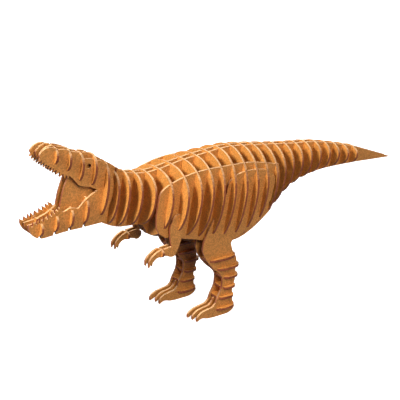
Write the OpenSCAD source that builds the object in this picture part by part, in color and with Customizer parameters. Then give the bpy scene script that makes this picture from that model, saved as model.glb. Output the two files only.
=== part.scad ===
// Walking dinosaur assembled from slotted slices of fibreboard.
// The head points to -X, the animal's left side is -Y, and the soles stand on Z = 0.
// Slices that run lengthwise are upright. Ribs cross them and lean back by rib_tilt.
// Every crossing is a cross-lap joint: half of the slot is cut from each of the two slices.

/* [Whole model] */
// Length from the tip of the lower jaw to the tip of the tail
overall_l = 360; // [300:5:430]
// Height of the top of the snout above the floor
overall_h = 163; // [140:1:195]
// Width over the widest body rib
body_w = 74; // [68:1:90]
// How far the right foot stands ahead of the left foot
step_l = 8; // [0:0.5:10]

/* [Board] */
// Thickness of the board that every slice is cut from
board_t = 2; // [1.6:0.1:2.4]
// Play of a board in its slot
slot_play = 0.1; // [0.05:0.05:0.3]

/* [Lengthwise slices] */
// Distance from the middle plane to the centre of a spine slice
spine_y = 3.4; // [2.6:0.1:4]
// Distance from the middle plane to the centre of a cheek slice
cheek_y = 7.6; // [6.4:0.1:9]
// Distance from the middle plane to the centre of a flank slice
flank_y = 24; // [23:0.5:25]
// Distance between neighbouring slices of a leg or an arm
limb_gap = 5.2; // [4.4:0.1:6]

/* [Ribs] */
// Angle by which the ribs lean back
rib_tilt = 11; // [9:0.5:13]
// How far a body rib stands above the spine slices
rib_proud = 0.8; // [0:0.1:1.5]
// How far the head ribs stand out of the cheek slices
cheek_rim = 4; // [2:0.5:6]

/* [Head] */
// Diameter of the eye hole
eye_d = 3.8; // [2.5:0.1:5]
// Length of the longest teeth
tooth_l = 3.2; // [1.5:0.1:4]

/* [Legs] */
// Distance from the middle plane to the middle of a leg
leg_y = 22.5; // [22:0.5:23.5]
// How far a leg shelf stands out of the outer leg slice
shelf_rim = 3.4; // [1.5:0.1:5]

/* [Hidden] */

board_face = "#C48E4E";
rib_face = "#D9A055";

// The outlines are drawn at this size and stretched to the size asked for
drawn_l = 360;
drawn_h = 163;
drawn_w = 74;
function fit_x(x) = x * overall_l / drawn_l;
function fit_z(z) = z * overall_h / drawn_h;
function fit_y(y) = y * body_w / drawn_w;
function fit(p) = [fit_x(p[0]), fit_z(p[1])];

slot_w = board_t + slot_play;
lean = tan(rib_tilt);
// Ribs are placed by the point where their plane meets this height
datum_z = fit_z(133);
far_out = 300;
curve_steps = 5;

// Catmull-Rom curve through a row of points
function pick(p, i) = p[max(0, min(len(p) - 1, i))];
function blend(a, b, c, d, t) =
    0.5 * (2 * b + (c - a) * t + (2 * a - 5 * b + 4 * c - d) * t * t
        + (3 * b - a - 3 * c + d) * t * t * t);
function curve(p) = [
    for (i = [0:len(p) - 2])
        for (k = [0:curve_steps - 1])
            blend(pick(p, i - 1), pick(p, i), pick(p, i + 1), pick(p, i + 2), k / curve_steps),
    p[len(p) - 1]
];
function fit_all(p) = [for (q = p) fit(q)];

// Height of a curve given by a few points [x, value]
function span(p, x, i = 0) = (i >= len(p) - 2 || x < p[i + 1][0]) ? i : span(p, x, i + 1);
function rise(p, i) =
    let (a = pick(p, i - 1), b = pick(p, i + 1)) (b[1] - a[1]) / (b[0] - a[0]);
function along(p, x) =
    let (i = span(p, x), h = p[i + 1][0] - p[i][0], t = (x - p[i][0]) / h)
    (2 * t * t * t - 3 * t * t + 1) * p[i][1] + (t * t * t - 2 * t * t + t) * h * rise(p, i)
    + (3 * t * t - 2 * t * t * t) * p[i + 1][1] + (t * t * t - t * t) * h * rise(p, i + 1);

// Top line of the head, neck, body and tail, from the snout to the last rib
crown = [[-157, 163], [-150, 161], [-145, 159], [-141, 156.6], [-137, 154.5], [-133, 153.5],
    [-129, 152.8], [-125, 150.8], [-121, 148], [-116, 145], [-110, 141], [-104, 136.6],
    [-96.4, 131], [-86.5, 128.2]];
back = [[-96.4, 131], [-86.5, 128.2], [-77.5, 127], [-66, 127.6], [-54.5, 129.4], [-42.5, 131.2],
    [-19.5, 133.2], [-6, 134.1], [4, 134], [15, 132.8], [37.5, 129.5], [59.5, 126.3],
    [81.5, 123.8], [92.5, 122], [104.5, 119.2], [126.5, 113.2], [139, 109.3]];
// Underside from the neck to the last rib
belly = [[-120.5, 96.2], [-112.5, 91.5], [-103.5, 88], [-93.5, 86.8], [-85.5, 86], [-81, 82.5],
    [-77.5, 76.5], [-72, 73.2], [-65.5, 71.3], [-54.5, 67.6], [-44, 63.1], [-33.5, 57.4],
    [-23.5, 53.1],
    [-12.5, 51.8], [-0.5, 53.8], [11.5, 59], [24.5, 66.8], [38.5, 76.6], [51.5, 85.2], [63.5, 90.4],
    [75.5, 93.5], [86.5, 95.2], [104.5, 96.7], [139, 95.8]];
tail_tip = [180, 93.2];
// Half width of the ribs, by the place where the rib's plane meets datum_z
half_widths = [[-105, 15], [-87, 20], [-77, 22.8], [-65.3, 31.2], [-52, 36.2], [-38, 37], [-9, 35.2],
    [14, 34.8], [36.6, 30.4], [48, 25.6], [60, 21.2], [82, 16.9], [104.5, 13.9], [138.5, 12.4]];
// Roundness of the upper half of the ribs: 2 is an ellipse and less is more pointed
shoulders = [[-105, 2.15], [-65, 2.3], [-20, 2.2], [14, 2.05], [37, 1.92], [60, 1.93], [138.5, 2]];

// Stations of the ribs
body_ribs = 19;
neck_ribs = 4;
body_first = fit_x(-65.3);
body_last = fit_x(138.5);
neck_first = fit_x(-105);
// The neck ribs draw closer together towards the head
neck_spread = 1.12;
skull_first = fit_x(-159.8);
skull_last = fit_x(-114.7);
jaw_first = fit_x(-164.7);
jaw_last = fit_x(-128.3);
function body_at(i) = body_first + (body_last - body_first) * (i - 1) / (body_ribs - 1);
function neck_at(i) = neck_first + (body_first - neck_first) * pow((i - 1) / neck_ribs, neck_spread);
function skull_at(i) = skull_first + (skull_last - skull_first) * (i - 1) / 4;
function jaw_at(i) = jaw_first + (jaw_last - jaw_first) * (i - 1) / 3;

// Along a rib, v is the distance up its leaning face from datum_z
function v_of(z) = (z - datum_z) / cos(rib_tilt);
function z_of(v) = datum_z + v * cos(rib_tilt);
function x_of(s, v) = s + v * sin(rib_tilt);
function on_rib(s, v) = [x_of(s, v), z_of(v)];
// Height at which a rib at station s meets a line drawn lengthwise
function meet(p, s, z, n = 5) =
    n == 0 ? z : meet(p, s, fit_z(along(p, (s + lean * (z - datum_z)) * drawn_l / overall_l)), n - 1);
function rib_top(s) = v_of(meet(back, s, datum_z)) + rib_proud;
function rib_foot(s) = v_of(meet(belly, s, fit_z(90)));
function rib_half(s) = fit_y(along(half_widths, s * drawn_l / overall_l));

// Section of the body, widest a little above the middle
widest_at = 0.44;
foot_power = 2.12;
function top_power(s) = along(shoulders, s * drawn_l / overall_l);
function arch(t, n) = pow(max(0, 1 - pow(abs(t), n)), 1 / n);
function rib_mid(s) = rib_top(s) - widest_at * (rib_top(s) - rib_foot(s));
function top_v(s, y) =
    rib_mid(s) + (rib_top(s) - rib_mid(s)) * arch(y / rib_half(s), top_power(s));
function foot_v(s, y) =
    rib_mid(s) - (rib_mid(s) - rib_foot(s)) * arch(y / rib_half(s), foot_power);
// Height of the joint between a rib and an upright slice at distance y from the middle
function joint_v(s, y) = (top_v(s, y) + foot_v(s, y)) / 2;

rib_points = 48;
function power_of(c, n) = sign(c) * pow(abs(c), 2 / n);
function oval(half, up, down, n_up, n_down) = [
    for (k = [0:rib_points - 1])
        let (a = 360 * k / rib_points, n = sin(a) < 0 ? n_down : n_up)
        [half * power_of(cos(a), n), (sin(a) < 0 ? down : up) * power_of(sin(a), n)]
];

// A flat slice drawn in [x, z], standing upright at y
module upright(y, shade = board_face) {
    color(shade)
        translate([0, y, 0])
            rotate([90, 0, 0])
                linear_extrude(board_t, center = true)
                    children();
}

// A flat slice drawn in [y, v], in the leaning plane of the rib at station s
module leaning(s, shade = rib_face) {
    color(shade)
        translate([s, 0, datum_z])
            rotate([0, rib_tilt, 0])
                rotate([90, 0, 90])
                    linear_extrude(board_t, center = true)
                        children();
}

// Slot in an upright slice, open upwards from v or downwards from v
module slot_for_rib(s, v, up = true) {
    translate([s, datum_z])
        rotate(-rib_tilt)
            translate([-slot_w / 2, up ? v : v - far_out])
                square([slot_w, far_out]);
}

// Slot in a rib for the upright slice at y, open downwards from v or upwards from v
module slot_for_slice(y, v, down = true) {
    translate([y - slot_w / 2, down ? v - far_out : v])
        square([slot_w, far_out]);
}

module both_sides(y, v, down = true) {
    slot_for_slice(y, v, down);
    slot_for_slice(-y, v, down);
}

// ---- Spine slices -------------------------------------------------------------------------

snout_in = [[-165, 152.6], [-166.4, 157.3], [-164.2, 160.2], [-161, 162.3], [-157, 163]];
jaw_line = [[-120.5, 96.2], [-136.7, 96.2], [-150.3, 96.1], [-162.9, 95.2], [-169.5, 94.9],
    [-174, 96.2],
    [-177, 98.8], [-178.4, 102.6]];
tongue = [[-178.8, 105.6], [-171.6, 106.3], [-165.9, 107.4], [-160, 109.4], [-155.6, 111.8],
    [-152.4, 114.2]];
throat = [[-152.4, 114.2], [-151.4, 118.2], [-150.2, 122.8], [-148.2, 128.4], [-145.8, 134],
    [-144.9, 138],
    [-147, 141.4]];
palate = [[-147, 141.4], [-153.5, 145.4], [-159, 149.2], [-165, 152.6]];

function reversed(p) = [for (i = [len(p) - 1:-1:0]) p[i]];

module spine_shape() {
    polygon(fit_all(concat(
        curve(snout_in),
        curve(crown),
        curve([for (q = back) if (q[0] > -86) q]),
        [tail_tip],
        curve(reversed(belly)),
        curve(jaw_line),
        curve(tongue),
        curve(throat),
        curve(palate)
    )));
}

module spine(side) {
    upright(side * spine_y)
        difference() {
            spine_shape();
            skull_slots();
            jaw_slots();
            for (i = [1:neck_ribs])
                slot_for_rib(neck_at(i), joint_v(neck_at(i), 0));
            for (i = [1:body_ribs])
                slot_for_rib(body_at(i), joint_v(body_at(i), 0));
        }
}

// ---- Head ---------------------------------------------------------------------------------

snout_out = [[-168.2, 156.4], [-168.6, 158.3], [-166.3, 160.8], [-163.6, 162.4], [-159.8, 163],
    [-156, 161.9],
    [-153.2, 160.4], [-147.8, 159.4], [-145.2, 158], [-142.8, 156.7], [-139.8, 156],
    [-137.4, 154.4],
    [-135.2, 151.6], [-132.6, 149.8], [-126.8, 148.5], [-123.8, 147.1], [-119.1, 145.7],
    [-115.5, 143.5],
    [-112.7, 140], [-110.8, 135.8], [-109.3, 131.4], [-108.9, 125], [-109.9, 117.2],
    [-112.8, 109.6], [-116.9, 104.6], [-119.3, 100], [-120.9, 96.6]];
jaw_out = [[-120.9, 96.6], [-136.7, 96.2], [-150.3, 96.1], [-162.9, 95.2], [-169.5, 94.9],
    [-174, 96.2],
    [-177.2, 98.6], [-179, 101.8], [-180, 104.6]];
lower_gum = [[-180, 104.6], [-174, 106.5], [-169.5, 107.4], [-162.7, 109.6], [-157.7, 112.3],
    [-153.9, 114.6]];
lower_lip = [[-152.8, 112.2], [-150, 112], [-146.6, 113.4], [-143, 113], [-139.8, 112],
    [-137.6, 113.2], [-132.4, 117.8], [-122.7, 123]];
upper_lip = [[-122.7, 123], [-125.5, 124.8], [-128.9, 126.8], [-133, 127.8], [-137.1, 129.5],
    [-139.4, 131.6],
    [-142, 135], [-145.2, 138.7]];
upper_gum = [[-145.2, 138.7], [-151.3, 141.4], [-156.7, 146.2], [-160.8, 149.2], [-164.5, 152.4],
    [-168.2, 156.4]];
lower_teeth = 9;
upper_teeth = 11;
// Share of its pitch that a tooth is wide at the gum
tooth_w = 0.8;
eye_at = [-129.3, 143.2];

// Row of pointed teeth along a gum line, standing out to the left of its direction
function gum_at(p, t) =
    let (q = curve(p), k = t * (len(q) - 1), i = min(floor(k), len(q) - 2))
    q[i] + (q[i + 1] - q[i]) * (k - i);
function teeth(p, n) = [
    for (i = [0:n - 1])
        let (
            a = gum_at(p, i / n),
            b = gum_at(p, (i + 1) / n),
            d = (b - a) / norm(b - a),
            grow = 0.72 + 0.28 * sin(180 * (i + 0.5) / n)
        )
        each [a, a + (b - a) * tooth_w / 2 + [-d[1], d[0]] * tooth_l * grow, a + (b - a) * tooth_w]
];

module cheek_shape() {
    polygon(fit_all(concat(
        curve(snout_out),
        curve(jaw_out),
        teeth(lower_gum, lower_teeth),
        [lower_gum[len(lower_gum) - 1]],
        curve(lower_lip),
        curve(upper_lip),
        teeth(upper_gum, upper_teeth)
    )));
}

// Head ribs: [top, foot] heights and half width beyond the cheek slices
skull_spans = [[161.6, 147.9], [158.4, 140.4], [153.4, 130.4], [150.2, 125], [142.6, 99.3]];
jaw_spans = [[108.2, 95.6], [111.5, 96], [113.8, 96.2], [119.4, 96.5]];
skull_rims = [0.8, 0.85, 0.85, 0.9, 1.5];
function skull_joint(i) = v_of(fit_z((skull_spans[i - 1][0] + skull_spans[i - 1][1]) / 2));
function jaw_joint(i) = v_of(fit_z((jaw_spans[i - 1][0] + jaw_spans[i - 1][1]) / 2));
head_half = cheek_y + board_t / 2;

module skull_slots() {
    for (i = [1:5])
        slot_for_rib(skull_at(i), skull_joint(i));
}

module jaw_slots() {
    for (i = [1:4])
        slot_for_rib(jaw_at(i), jaw_joint(i), up = false);
}

module cheek(side) {
    upright(side * cheek_y)
        difference() {
            cheek_shape();
            skull_slots();
            jaw_slots();
            translate(fit(eye_at))
                circle(d = eye_d, $fn = 32);
        }
}

module head_oval(span_z, half) {
    top = v_of(fit_z(span_z[0]));
    foot = v_of(fit_z(span_z[1]));
    mid = (top + foot) / 2;
    translate([0, mid])
        polygon(oval(half, top - mid, mid - foot, 2.2, 2.2));
}

module skull_rib(i) {
    leaning(skull_at(i))
        difference() {
            head_oval(skull_spans[i - 1], head_half + cheek_rim * skull_rims[i - 1]);
            both_sides(spine_y, skull_joint(i));
            both_sides(cheek_y, skull_joint(i));
        }
}

module jaw_rib(i) {
    leaning(jaw_at(i))
        difference() {
            head_oval(jaw_spans[i - 1], head_half + cheek_rim);
            both_sides(spine_y, jaw_joint(i), down = false);
            both_sides(cheek_y, jaw_joint(i), down = false);
        }
}

// ---- Neck and body ribs -------------------------------------------------------------------

module rib_oval(s) {
    translate([0, rib_mid(s)])
        polygon(oval(
            rib_half(s),
            rib_top(s) - rib_mid(s),
            rib_mid(s) - rib_foot(s),
            top_power(s),
            foot_power
        ));
}

module neck_rib(i) {
    leaning(neck_at(i))
        difference() {
            rib_oval(neck_at(i));
            both_sides(spine_y, joint_v(neck_at(i), 0));
        }
}

// Which ribs carry the flank slices, the legs and the arms
flank_last = 10;
leg_first = 5;
leg_last = 9;
arm_rib = 2;
leg_outer_y = leg_y + limb_gap;
leg_inner_y = leg_y - limb_gap;

module body_rib(i) {
    s = body_at(i);
    leaning(s)
        difference() {
            rib_oval(s);
            both_sides(spine_y, joint_v(s, 0));
            if (i <= flank_last)
                both_sides(flank_y, joint_v(s, flank_y));
            if (i >= leg_first && i <= leg_last) {
                both_sides(leg_outer_y, leg_joint(i, leg_outer_y));
                both_sides(leg_inner_y, leg_joint(i, leg_inner_y));
            }
            if (i == arm_rib)
                both_sides(leg_outer_y, arm_joint());
        }
}

// ---- Flank slices -------------------------------------------------------------------------

flank_nose = [[-81.6, 90], [-81.4, 97], [-80.2, 104.6], [-78.8, 111.4], [-76.4, 116.4], [-72.4, 119.6]];
flank_chin = [[-73.2, 78.6], [-78.6, 82.4], [-80.8, 86.4], [-81.6, 90]];
flank_tail = 3.4;
flank_drop = [2.6, 0.2];
flank_steps = 4 * (flank_last - 1);

// The lower edge hangs below the ribs at the chest and lies above their ends at the rear
function flank_low(k) = flank_drop[0] + (flank_drop[1] - flank_drop[0]) * k / flank_steps;
function flank_s(k) = body_at(1) + (body_at(flank_last) - body_at(1)) * k / flank_steps;

module flank_shape() {
    tail_s = body_at(flank_last) + board_t / 2 + flank_tail;
    rear = [
        on_rib(body_at(flank_last) + board_t, top_v(body_at(flank_last), flank_y)),
        on_rib(tail_s, top_v(tail_s, flank_y) - 6),
        on_rib(tail_s + 1.5, joint_v(tail_s, flank_y)),
        on_rib(tail_s - 0.5, foot_v(tail_s, flank_y) + 7),
        on_rib(body_at(flank_last) + board_t, foot_v(body_at(flank_last), flank_y) + 2)
    ];
    polygon(concat(
        fit_all(curve(flank_nose)),
        [for (k = [0:flank_steps]) on_rib(flank_s(k), top_v(flank_s(k), flank_y))],
        curve(rear),
        [for (k = [flank_steps:-1:2]) on_rib(flank_s(k), foot_v(flank_s(k), flank_y) - flank_low(k))],
        fit_all(curve(flank_chin))
    ));
}

module flank(side) {
    upright(side * flank_y)
        difference() {
            flank_shape();
            for (i = [1:flank_last])
                slot_for_rib(body_at(i), joint_v(body_at(i), flank_y));
        }
}

// ---- Legs ---------------------------------------------------------------------------------

// Outline of a leg slice: thigh, shin and foot, starting at the front of the hip
thigh_top = [[-18.5, 105], [-17, 111.5], [-13.8, 115.6], [-9.5, 118.2], [-3, 119.8], [7, 120],
    [14.5, 119.2],
    [21.5, 117.2], [27, 113.2], [29.4, 108.6], [28.8, 102.5], [27.2, 96], [24.6, 89.6],
    [20.5, 83], [15.5, 77.5],
    [7, 71.6], [-4, 67.6], [-11.5, 65]];
shin_back = [[-11.5, 65], [-13.8, 62], [-13.2, 58.5], [-11.4, 52.4], [-9, 49.4], [-8.3, 44], [-9.3, 38],
    [-9.4, 31], [-10.8, 26], [-12.2, 21], [-12.4, 16.5], [-12.2, 10.5]];
heel = [[-12.2, 10.5], [-10.4, 7.6], [-10.2, 4.8], [-12.6, 2], [-16.5, 0.4], [-22, 0]];
sole = [[-31, 0], [-36, 0.5], [-40, 1.7], [-43, 1.9], [-45.4, 0.9], [-47, 0]];
toe = [[-47, 0], [-46.9, 3], [-44.8, 5.4], [-41.5, 7.2], [-36.5, 8.2], [-31.5, 9.2], [-28.6, 12]];
shin_front = [[-28.6, 12], [-27, 16], [-25, 19.5], [-23, 23.5], [-22.2, 28], [-22.4, 33.5], [-26, 38.5],
    [-31.2, 43.4], [-36, 49.6], [-39.2, 55.2], [-41.2, 61], [-40.6, 66], [-38.8, 71], [-35.8, 77],
    [-30.6, 85.6], [-18.5, 105]];
// How much longer the toes are, from the outer slice to the inner slice
left_toes = [0, 1, 2];
right_toes = [2.4, 0, -0.4];

// The right leg bends forward between the hip and the knee
hip_z = fit_z(78);
knee_z = fit_z(56);
function swing_at(z, stride) = stride * max(0, min(1, (hip_z - z) / (hip_z - knee_z)));
function swing(p, stride) = [p[0] - swing_at(p[1], stride), p[1]];
function stretch_toe(p, more) = p[0] < fit_x(-30) && p[1] < fit_z(10) ?
    [p[0] - more * (fit_x(-30) - p[0]) / fit_x(17), p[1]] : p;
function leg_outline(stride, more) = [
    for (line = [thigh_top, shin_back, heel, sole, toe, shin_front])
        for (q = curve(line))
            swing(stretch_toe(fit(q), more), stride)
];

// Joint of a body rib with a leg slice: halfway between the slice's edge and the rib's foot
thigh_edge = [[0, 88.5], [0, 118.5], [0, 119.8], [0, 119], [0, 114.5]];
function leg_joint(i, y) =
    (v_of(fit_z(thigh_edge[i - leg_first][1])) + foot_v(body_at(i), y)) / 2;

// Shelves: height, front end and rear end, for the left leg
shelves = [
    [50.6, -36.2, -8.2],
    [41.6, -28.6, -4.8],
    [33.2, -22, -6.4],
    [24.2, -22.6, -9],
    [16, -26.6, -10.4],
    [6.6, -29.6, -9.6]
];
shelf_count = len(shelves);
function shelf_z(k) = fit_z(shelves[k - 1][0]);
function shelf_swing(k, stride) = swing_at(shelf_z(k), stride);
function shelf_front(k) = fit_x(shelves[k - 1][1]);
function shelf_back(k) = fit_x(shelves[k - 1][2]);
function shelf_mid(k) = (shelf_front(k) + shelf_back(k)) / 2;

// Slot in an upright leg slice for shelf k, open to the rear
module slot_for_shelf(k, stride) {
    translate([shelf_mid(k) - shelf_swing(k, stride), shelf_z(k) - slot_w / 2])
        square([fit_x(20), slot_w]);
}

module leg_slice(y, stride, more) {
    upright(y)
        difference() {
            polygon(leg_outline(stride, more));
            for (i = [leg_first:leg_last])
                slot_for_rib(body_at(i), leg_joint(i, abs(y)));
            // The ribs just ahead of and behind the hip may graze the thigh, which is cut clear of them
            for (i = [leg_first - 1, leg_last + 1])
                slot_for_rib(body_at(i), foot_v(body_at(i), abs(y)) - 0.5);
            for (k = [1:shelf_count])
                slot_for_shelf(k, stride);
        }
}

// Short slice between the two leg slices, from under the ankle to the middle toe
module foot_centre(side, stride, more) {
    upright(side * leg_y)
        difference() {
            intersection() {
                polygon(leg_outline(stride, more));
                translate([fit_x(-80), -1])
                    square([fit_x(80), fit_z(14.6) + 1]);
            }
            slot_for_shelf(shelf_count, stride);
        }
}

module shelf(k, side, stride) {
    half_l = (shelf_back(k) - shelf_front(k)) / 2;
    half_w = limb_gap + board_t / 2 + shelf_rim;
    color(rib_face)
        translate([shelf_mid(k) - shelf_swing(k, stride), side * leg_y, shelf_z(k) - board_t / 2])
            linear_extrude(board_t)
                difference() {
                    polygon(oval(half_l, half_w, half_w, 3, 3));
                    for (y = k < shelf_count ? [-limb_gap, limb_gap] : [-limb_gap, 0, limb_gap])
                        translate([-far_out, y - slot_w / 2])
                            square([far_out, slot_w]);
                }
}

// ---- Arms ---------------------------------------------------------------------------------

upper_arm = [[-57.5, 88], [-58.2, 94.5], [-62.2, 96.3], [-66.4, 94.4], [-69.2, 89.8], [-70.4, 85],
    [-70, 76.5],
    [-69.2, 71]];
forearm = [[-69.2, 71], [-74.4, 70.5], [-81, 69.6], [-86.6, 66.4], [-89.8, 62.4], [-90, 58]];
claws = [[-90, 58], [-88, 61], [-87.2, 58.8], [-86.4, 61.8]];
elbow = [[-86.4, 61.8], [-83.4, 64.2], [-78.4, 65.2], [-73.8, 64.4], [-70.2, 62.8], [-66.4, 63.2],
    [-64, 67],
    [-61.7, 71.5], [-60, 76.5], [-58.6, 82], [-57.5, 88]];
forearm_back = [[-68, 62.9], [-65.4, 65.4], [-65.6, 69], [-69.2, 71]];
arm_y = leg_outer_y;
// The right arm hangs a little further forward and lower than the left arm
left_arm_shift = [-1.3, 0.8];
right_arm_shift = [-2.5, -1.1];
function arm_move(side) = fit(side > 0 ? right_arm_shift : left_arm_shift);
tie_at = [-77.6, 66.8];
tie_half_h = 3.4;
tie_rim = 1.6;
tie_lean = 6;
function arm_joint() =
    (v_of(fit_z(96)) + foot_v(body_at(arm_rib), arm_y)) / 2;

// Slot for the tie in a forearm, open upwards
module slot_for_tie() {
    translate(fit(tie_at))
        rotate(-tie_lean)
            translate([-slot_w / 2, 0])
                square([slot_w, far_out]);
}

module arm_outer(side) {
    upright(side * arm_y)
        difference() {
            translate(arm_move(side))
                difference() {
                    polygon(fit_all(concat(curve(upper_arm), curve(forearm), claws, curve(elbow))));
                    slot_for_tie();
                }
            slot_for_rib(body_at(arm_rib), arm_joint());
        }
}

module arm_inner(side) {
    upright(side * leg_y)
        translate(arm_move(side))
            difference() {
                polygon(fit_all(concat(
                    curve(forearm),
                    claws,
                    curve([for (q = elbow) if (q[0] < -69) q]),
                    curve(forearm_back)
                )));
                slot_for_tie();
            }
}

// Small rib that ties the two slices of a forearm together
module arm_tie(side) {
    half_w = limb_gap / 2 + board_t / 2 + tie_rim;
    shift = arm_move(side);
    color(rib_face)
        translate([fit_x(tie_at[0]) + shift[0], side * (leg_y + arm_y) / 2, fit_z(tie_at[1]) + shift[1]])
            rotate([0, tie_lean, 0])
                rotate([90, 0, 90])
                    linear_extrude(board_t, center = true)
                        difference() {
                            polygon(oval(half_w, tie_half_h, tie_half_h, 2.2, 2.2));
                            for (y = [-limb_gap / 2, limb_gap / 2])
                                slot_for_slice(y, 0);
                        }
}

// ---- Nodes --------------------------------------------------------------------------------

spine(-1);  // spine_left
spine(1);  // spine_right
cheek(-1);  // cheek_left
cheek(1);  // cheek_right
flank(-1);  // flank_left
flank(1);  // flank_right
for (i = [1:5]) skull_rib(i);
for (i = [1:4]) jaw_rib(i);
for (i = [1:neck_ribs]) neck_rib(i);
for (i = [1:body_ribs]) body_rib(i);
leg_slice(-leg_outer_y, 0, left_toes[0]);  // left_leg_outer
leg_slice(-leg_inner_y, 0, left_toes[2]);  // left_leg_inner
leg_slice(leg_inner_y, step_l, right_toes[2]);  // right_leg_inner
leg_slice(leg_outer_y, step_l, right_toes[0]);  // right_leg_outer
union() {  // foot_centres
    foot_centre(-1, 0, left_toes[1]);
    foot_centre(1, step_l, right_toes[1]);
}
for (k = [1:shelf_count]) shelf(k, -1, 0);
for (k = [1:shelf_count]) shelf(k, 1, step_l);
arm_outer(-1);  // left_arm_outer
arm_inner(-1);  // left_arm_inner
arm_inner(1);  // right_arm_inner
arm_outer(1);  // right_arm_outer
union() {  // arm_ties
    arm_tie(-1);
    arm_tie(1);
}
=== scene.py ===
"""Looks for the slotted dinosaur model: fibreboard materials, eased edges, studio light and camera."""

import math

import bpy
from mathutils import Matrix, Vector

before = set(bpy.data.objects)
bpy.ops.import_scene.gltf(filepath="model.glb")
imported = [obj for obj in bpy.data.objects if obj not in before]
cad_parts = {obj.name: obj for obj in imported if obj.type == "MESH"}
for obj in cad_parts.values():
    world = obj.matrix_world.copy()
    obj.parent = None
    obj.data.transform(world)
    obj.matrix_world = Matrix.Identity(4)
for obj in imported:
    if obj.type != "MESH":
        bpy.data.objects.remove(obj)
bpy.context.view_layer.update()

MM = 0.001
EASE_WIDTH = 0.16 * MM
EASE_ANGLE = math.radians(50)
WELD_GAP = 0.000002
RIB_TILT = math.radians(11)
TIE_TILT = math.radians(6)
# Scales of the board's noise, from broad clouds to single fibres, and of its dark flecks
CLOUD_SCALE = 24.0
MOTTLE_SCALE = 210.0
FIBRE_SCALE = 900.0
FLECK_SCALE = 560.0
LAYER_WANDER_SCALE = 320.0
LAYER_WANDER = 0.0009
LAYER_RATE = 9400.0
BUMP_DEPTH = 0.00012
# Direction that the board's broad faces look in, for each family of slices
UPRIGHT = (0.0, 1.0, 0.0)
LEANING = (math.cos(RIB_TILT), 0.0, -math.sin(RIB_TILT))
LEVEL = (0.0, 0.0, 1.0)
TIED = (math.cos(TIE_TILT), 0.0, -math.sin(TIE_TILT))


class Graph:
    """Short way to add and join the nodes of one material."""

    def __init__(self, name):
        self.material = bpy.data.materials.new(name)
        self.material.use_nodes = True
        self.tree = self.material.node_tree
        self.shader = self.tree.nodes["Principled BSDF"]

    def add(self, kind, inputs=None, **settings):
        made = self.tree.nodes.new(kind)
        for key, value in settings.items():
            setattr(made, key, value)
        for key, value in (inputs or {}).items():
            if isinstance(value, bpy.types.NodeSocket):
                self.tree.links.new(value, made.inputs[key])
            else:
                made.inputs[key].default_value = value
        return made

    def maths(self, operation, a, b=0.0):
        return self.add("ShaderNodeMath", {0: a, 1: b}, operation=operation).outputs[0]

    def remap(self, value, low, high, to_low=0.0, to_high=1.0):
        names = ("Value", "From Min", "From Max", "To Min", "To Max")
        return self.add(
            "ShaderNodeMapRange", dict(zip(names, (value, low, high, to_low, to_high)))
        ).outputs[0]

    def mix(self, amount, a, b, blend="MIX"):
        node = self.add("ShaderNodeMix", data_type="RGBA", blend_type=blend)
        for place, value in ((0, amount), (6, a), (7, b)):
            if isinstance(value, bpy.types.NodeSocket):
                self.tree.links.new(value, node.inputs[place])
            else:
                node.inputs[place].default_value = value
        return node.outputs[2]

    def noise(self, where, scale, detail=3.0, rough=0.55):
        return self.add(
            "ShaderNodeTexNoise",
            {"Vector": where, "Scale": scale, "Detail": detail, "Roughness": rough},
        ).outputs[0]


def srgb(r, g, b):
    """A colour as a screen shows it, in the linear values that a shader takes."""
    def linear(c):
        c /= 255
        return c / 12.92 if c <= 0.04045 else ((c + 0.055) / 1.055) ** 2.4

    return (linear(r), linear(g), linear(b), 1.0)


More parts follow.
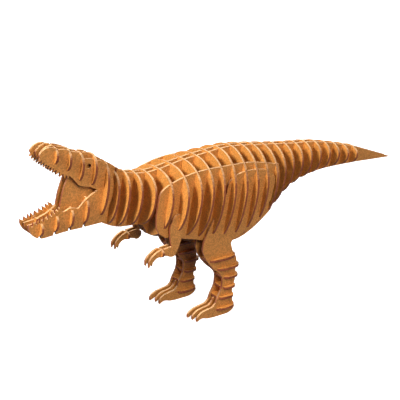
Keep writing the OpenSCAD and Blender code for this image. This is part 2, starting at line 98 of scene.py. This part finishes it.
def board(name, facing, face, face_dark):
    """Fibreboard: mottled, finely speckled faces, and layered cut edges, with a painted highlight on
    the edges that face up.
    """
    g = Graph(name)
    coord = g.add("ShaderNodeTexCoord").outputs["Object"]
    chance = g.add("ShaderNodeObjectInfo").outputs["Random"]
    shift = g.add("ShaderNodeCombineXYZ", {0: chance, 1: chance, 2: chance}).outputs[0]
    where = g.add(
        "ShaderNodeVectorMath", {0: coord, 1: shift}, operation="ADD"
    ).outputs[0]

    # Share of the normal that looks along the board's thickness: 1 on a face, 0 on a cut edge
    normal = g.add("ShaderNodeNewGeometry").outputs["Normal"]
    along = g.add(
        "ShaderNodeVectorMath", {0: normal, 1: facing}, operation="DOT_PRODUCT"
    ).outputs["Value"]
    flat = g.maths("ABSOLUTE", along)
    on_face = g.remap(flat, 0.80, 0.93)
    off_face = g.maths("SUBTRACT", 1.0, on_face)
    on_arris = g.maths("MULTIPLY", g.remap(flat, 0.25, 0.55), off_face)

    clouds = g.noise(where, CLOUD_SCALE, 4.0)
    mottle = g.noise(where, MOTTLE_SCALE, 5.0, 0.62)
    fibre = g.noise(where, FIBRE_SCALE, 2.0, 0.7)
    speck = g.add(
        "ShaderNodeTexVoronoi", {"Vector": where, "Scale": FLECK_SCALE, "Randomness": 1.0}
    ).outputs["Distance"]
    tone = g.maths(
        "ADD",
        g.maths("MULTIPLY", g.remap(clouds, 0.3, 0.7), 0.35),
        g.maths("MULTIPLY", g.remap(mottle, 0.2, 0.8), 0.65),
    )
    face_tone = g.mix(tone, face_dark, face)
    grain = g.remap(fibre, 0.36, 0.64, 0.78, 1.2)
    flecks = g.remap(speck, 0.08, 0.26, 0.72, 1.0)
    shade = g.maths("MULTIPLY", grain, flecks)
    per_piece = g.remap(chance, 0.0, 1.0, 0.95, 1.05)
    shade = g.maths("MULTIPLY", shade, per_piece)

    # Layers pressed into the board show as thin lines that run along its cut edges
    depth = g.add(
        "ShaderNodeVectorMath", {0: coord, 1: facing}, operation="DOT_PRODUCT"
    ).outputs["Value"]
    drift = g.noise(where, LAYER_WANDER_SCALE, 2.0)
    wander = g.maths("MULTIPLY", drift, LAYER_WANDER)
    lines = g.maths("SINE", g.maths("MULTIPLY", g.maths("ADD", depth, wander), LAYER_RATE))
    stripes = g.remap(lines, -1.0, 1.0, 0.0, 0.45)
    layer = g.maths("ADD", stripes, g.maths("MULTIPLY", mottle, 0.6))
    # Cut edges that face up are painted lighter, a painted highlight standing in for light from above;
    # other edges keep the board's darker cut-edge colours
    up = g.add("ShaderNodeSeparateXYZ", {0: normal}).outputs["Z"]
    painted_top_highlight = g.remap(up, 0.3, 0.9)
    edge_tone = g.mix(painted_top_highlight, g.mix(layer, EDGE, EDGE_DARK), g.mix(layer, EDGE_TOP_HIGHLIGHT, EDGE_TOP_HIGHLIGHT_LAYER))

    colour = g.mix(on_face, edge_tone, face_tone)
    colour = g.mix(g.maths("MULTIPLY", on_arris, 0.45), colour, EDGE_DARK)
    grey = g.add("ShaderNodeCombineColor", {0: shade, 1: shade, 2: shade}).outputs[0]
    colour = g.mix(1.0, colour, grey, "MULTIPLY")
    g.tree.links.new(colour, g.shader.inputs["Base Color"])

    rough = g.remap(mottle, 0.3, 0.7, 0.58, 0.74)
    g.tree.links.new(rough, g.shader.inputs["Roughness"])
    g.shader.inputs["Specular IOR Level"].default_value = 0.32

    height = g.maths("ADD", g.maths("MULTIPLY", fibre, 0.6), g.maths("MULTIPLY", mottle, 0.4))
    ridges = g.maths("MULTIPLY", off_face, g.maths("MULTIPLY", lines, 0.25))
    height = g.maths("ADD", height, ridges)
    bump = g.add(
        "ShaderNodeBump", {"Strength": 0.35, "Distance": BUMP_DEPTH, "Height": height}
    ).outputs[0]
    g.tree.links.new(bump, g.shader.inputs["Normal"])
    return g.material


FACE = srgb(206, 144, 76)
FACE_DARK = srgb(192, 128, 62)
RIB_FACE = srgb(212, 148, 76)
RIB_DARK = srgb(198, 132, 60)
# The next two colours are a painted highlight for cut edges that face up; the last two are the cut
# edges' own darker colours
EDGE_TOP_HIGHLIGHT = srgb(250, 214, 160)
EDGE_TOP_HIGHLIGHT_LAYER = srgb(214, 152, 98)
EDGE = srgb(170, 100, 60)
EDGE_DARK = srgb(110, 52, 28)

materials = {
    "upright": board("upright_board", UPRIGHT, FACE, FACE_DARK),
    "leaning": board("leaning_board", LEANING, RIB_FACE, RIB_DARK),
    "level": board("level_board", LEVEL, RIB_FACE, RIB_DARK),
    "tied": board("tie_board", TIED, RIB_FACE, RIB_DARK),
}


def family(node):
    if "shelf" in node:
        return "level"
    if "rib" in node:
        return "leaning"
    return "tied" if "ties" in node else "upright"


for name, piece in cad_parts.items():
    piece.data.materials.clear()
    piece.data.materials.append(materials[family(name)])
    weld = piece.modifiers.new("weld", "WELD")
    weld.merge_threshold = WELD_GAP
    ease = piece.modifiers.new("eased_edges", "BEVEL")
    ease.width = EASE_WIDTH
    ease.segments = 2
    ease.limit_method = "ANGLE"
    ease.angle_limit = EASE_ANGLE
    ease.use_clamp_overlap = True
    ease.harden_normals = False


# Studio: pale floor, dim white surroundings, a key light from ahead, a broad fill from the camera's
# side and a weaker light from behind
def floor_material():
    g = Graph("studio_floor")
    g.shader.inputs["Base Color"].default_value = (0.62, 0.62, 0.62, 1)
    g.shader.inputs["Roughness"].default_value = 0.9
    g.shader.inputs["Specular IOR Level"].default_value = 0.1
    g.shader.inputs["Emission Color"].default_value = (1, 1, 1, 1)
    g.shader.inputs["Emission Strength"].default_value = 0.72
    return g.material


FLOOR_SIZE = 12
BACKDROP_RADIUS = 5.8
BACKDROP_HEIGHT = 8
BACKDROP_MIDDLE = 3.9
bpy.ops.mesh.primitive_plane_add(size=FLOOR_SIZE, location=(0, 0, 0))
floor = bpy.context.object
floor.name = "studio_floor"
floor.data.materials.append(floor_material())
# The floor shows as white paper, but throws little light up onto the model
floor.visible_diffuse = False

# White surroundings for low views. Diffuse and shadow rays pass them by, but they still brighten
# the model a little
bpy.ops.mesh.primitive_cylinder_add(
    radius=BACKDROP_RADIUS,
    depth=BACKDROP_HEIGHT,
    end_fill_type="NOTHING",
    vertices=96,
    location=(0, 0, BACKDROP_MIDDLE),
)
backdrop = bpy.context.object
backdrop.name = "studio_backdrop"
backdrop.data.materials.append(floor.data.materials[0])
backdrop.visible_diffuse = False
backdrop.visible_shadow = False

world = bpy.data.worlds.new("studio")
bpy.context.scene.world = world
world.use_nodes = True
tree = world.node_tree
sky = tree.nodes["Background"]
direction = tree.nodes.new("ShaderNodeTexCoord").outputs["Generated"]
split = tree.nodes.new("ShaderNodeSeparateXYZ")
tree.links.new(direction, split.inputs[0])
# Dim below the horizon and a little brighter overhead
rising = tree.nodes.new("ShaderNodeMapRange")
for place, value in ((1, -0.3), (2, 0.5), (3, 0.015), (4, 0.05)):
    rising.inputs[place].default_value = value
tree.links.new(split.outputs["Z"], rising.inputs[0])
tree.links.new(rising.outputs[0], sky.inputs[1])
sky.inputs[0].default_value = (1.0, 1.0, 1.0, 1)


def area_light(name, place, aim, size, power):
    data = bpy.data.lights.new(name, "AREA")
    data.shape = "DISK"
    data.size = size
    data.energy = power
    lamp = bpy.data.objects.new(name, data)
    bpy.context.scene.collection.objects.link(lamp)
    lamp.location = place
    lamp.rotation_euler = (Vector(aim) - Vector(place)).to_track_quat("-Z", "Y").to_euler()


# What the lights are aimed at
MIDDLE = (0, 0, 0.09)
CHEST = (-0.02, 0, 0.09)
area_light("key", (-1.34, -0.16, 1.06), CHEST, 0.5, 26)
area_light("fill", (-0.25, -1.25, 0.95), MIDDLE, 0.8, 14)
area_light("rim", (1.1, 0.9, 0.8), MIDDLE, 0.8, 8)

# Camera: a long lens, slightly above the model, off its left front
CAMERA_AT = (-0.4791, -0.6736, 0.3959)
CAMERA_LOOK = (0.5238, 0.7765, -0.3502)
CAMERA_LENS = 96.3
camera_data = bpy.data.cameras.new("camera")
camera_data.lens = CAMERA_LENS
camera_data.sensor_width = 36
camera_data.clip_end = 50
camera = bpy.data.objects.new("camera", camera_data)
bpy.context.scene.collection.objects.link(camera)
camera.location = CAMERA_AT
camera.rotation_euler = Vector(CAMERA_LOOK).to_track_quat("-Z", "Y").to_euler()
bpy.context.scene.camera = camera
bpy.context.scene.view_settings.view_transform = "Standard"
bpy.context.scene.view_settings.look = "Medium High Contrast"
